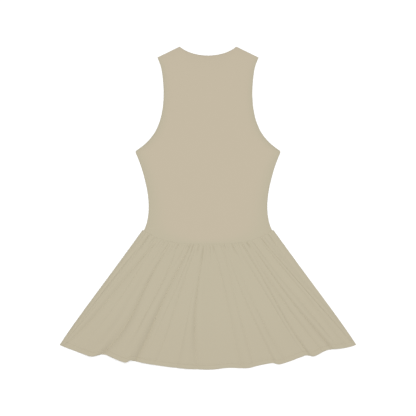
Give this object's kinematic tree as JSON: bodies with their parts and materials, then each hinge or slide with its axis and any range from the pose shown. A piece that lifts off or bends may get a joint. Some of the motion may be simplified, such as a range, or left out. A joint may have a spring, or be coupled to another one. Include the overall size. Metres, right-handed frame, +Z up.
{
  "type": "sleeveless drop-waist zip-front dress",
  "caption": "Sleeveless drop-waist jersey dress with a gathered flared skirt and a front zip, laid flat face down with its back up.",
  "frame": {"origin": "middle of the dress's outline, on the plane that the front lies on", "axes": "+Y along the centre line towards the neck, +X across towards the wearer's right side, +Z up out of the dress's back"},
  "size_m": [0.76, 0.8276, 0.0107],
  "materials": {
    "bodice_jersey": "smooth fine beige jersey, matt",
    "skirt_jersey": "smooth fine beige jersey, gathered, matt",
    "zip_tape": "woven tape, matt",
    "zip_coil": "nylon coil, satin",
    "zip_metal": "satin nickel plate"
  },
  "bodies": {
    "dress": {"back_bodice": "bodice_jersey", "front_bodice_left": "bodice_jersey", "front_bodice_right": "bodice_jersey", "skirt_back": "skirt_jersey", "skirt_front": "skirt_jersey", "zip_tape_left": "zip_tape", "zip_tape_right": "zip_tape", "zip_chain": "zip_coil", "zip_slider": "zip_metal"},
    "pull_tab": {"zip_pull_tab": "zip_metal"}
  },
  "joints": [
    {"name": "pull_tab_hinge", "type": "hinge", "parent": "dress", "child": "pull_tab", "pos_m": [0, 0.3218, 0.00155], "axis": [1, 0, 0], "range_deg": [0, 150]}
  ]
}
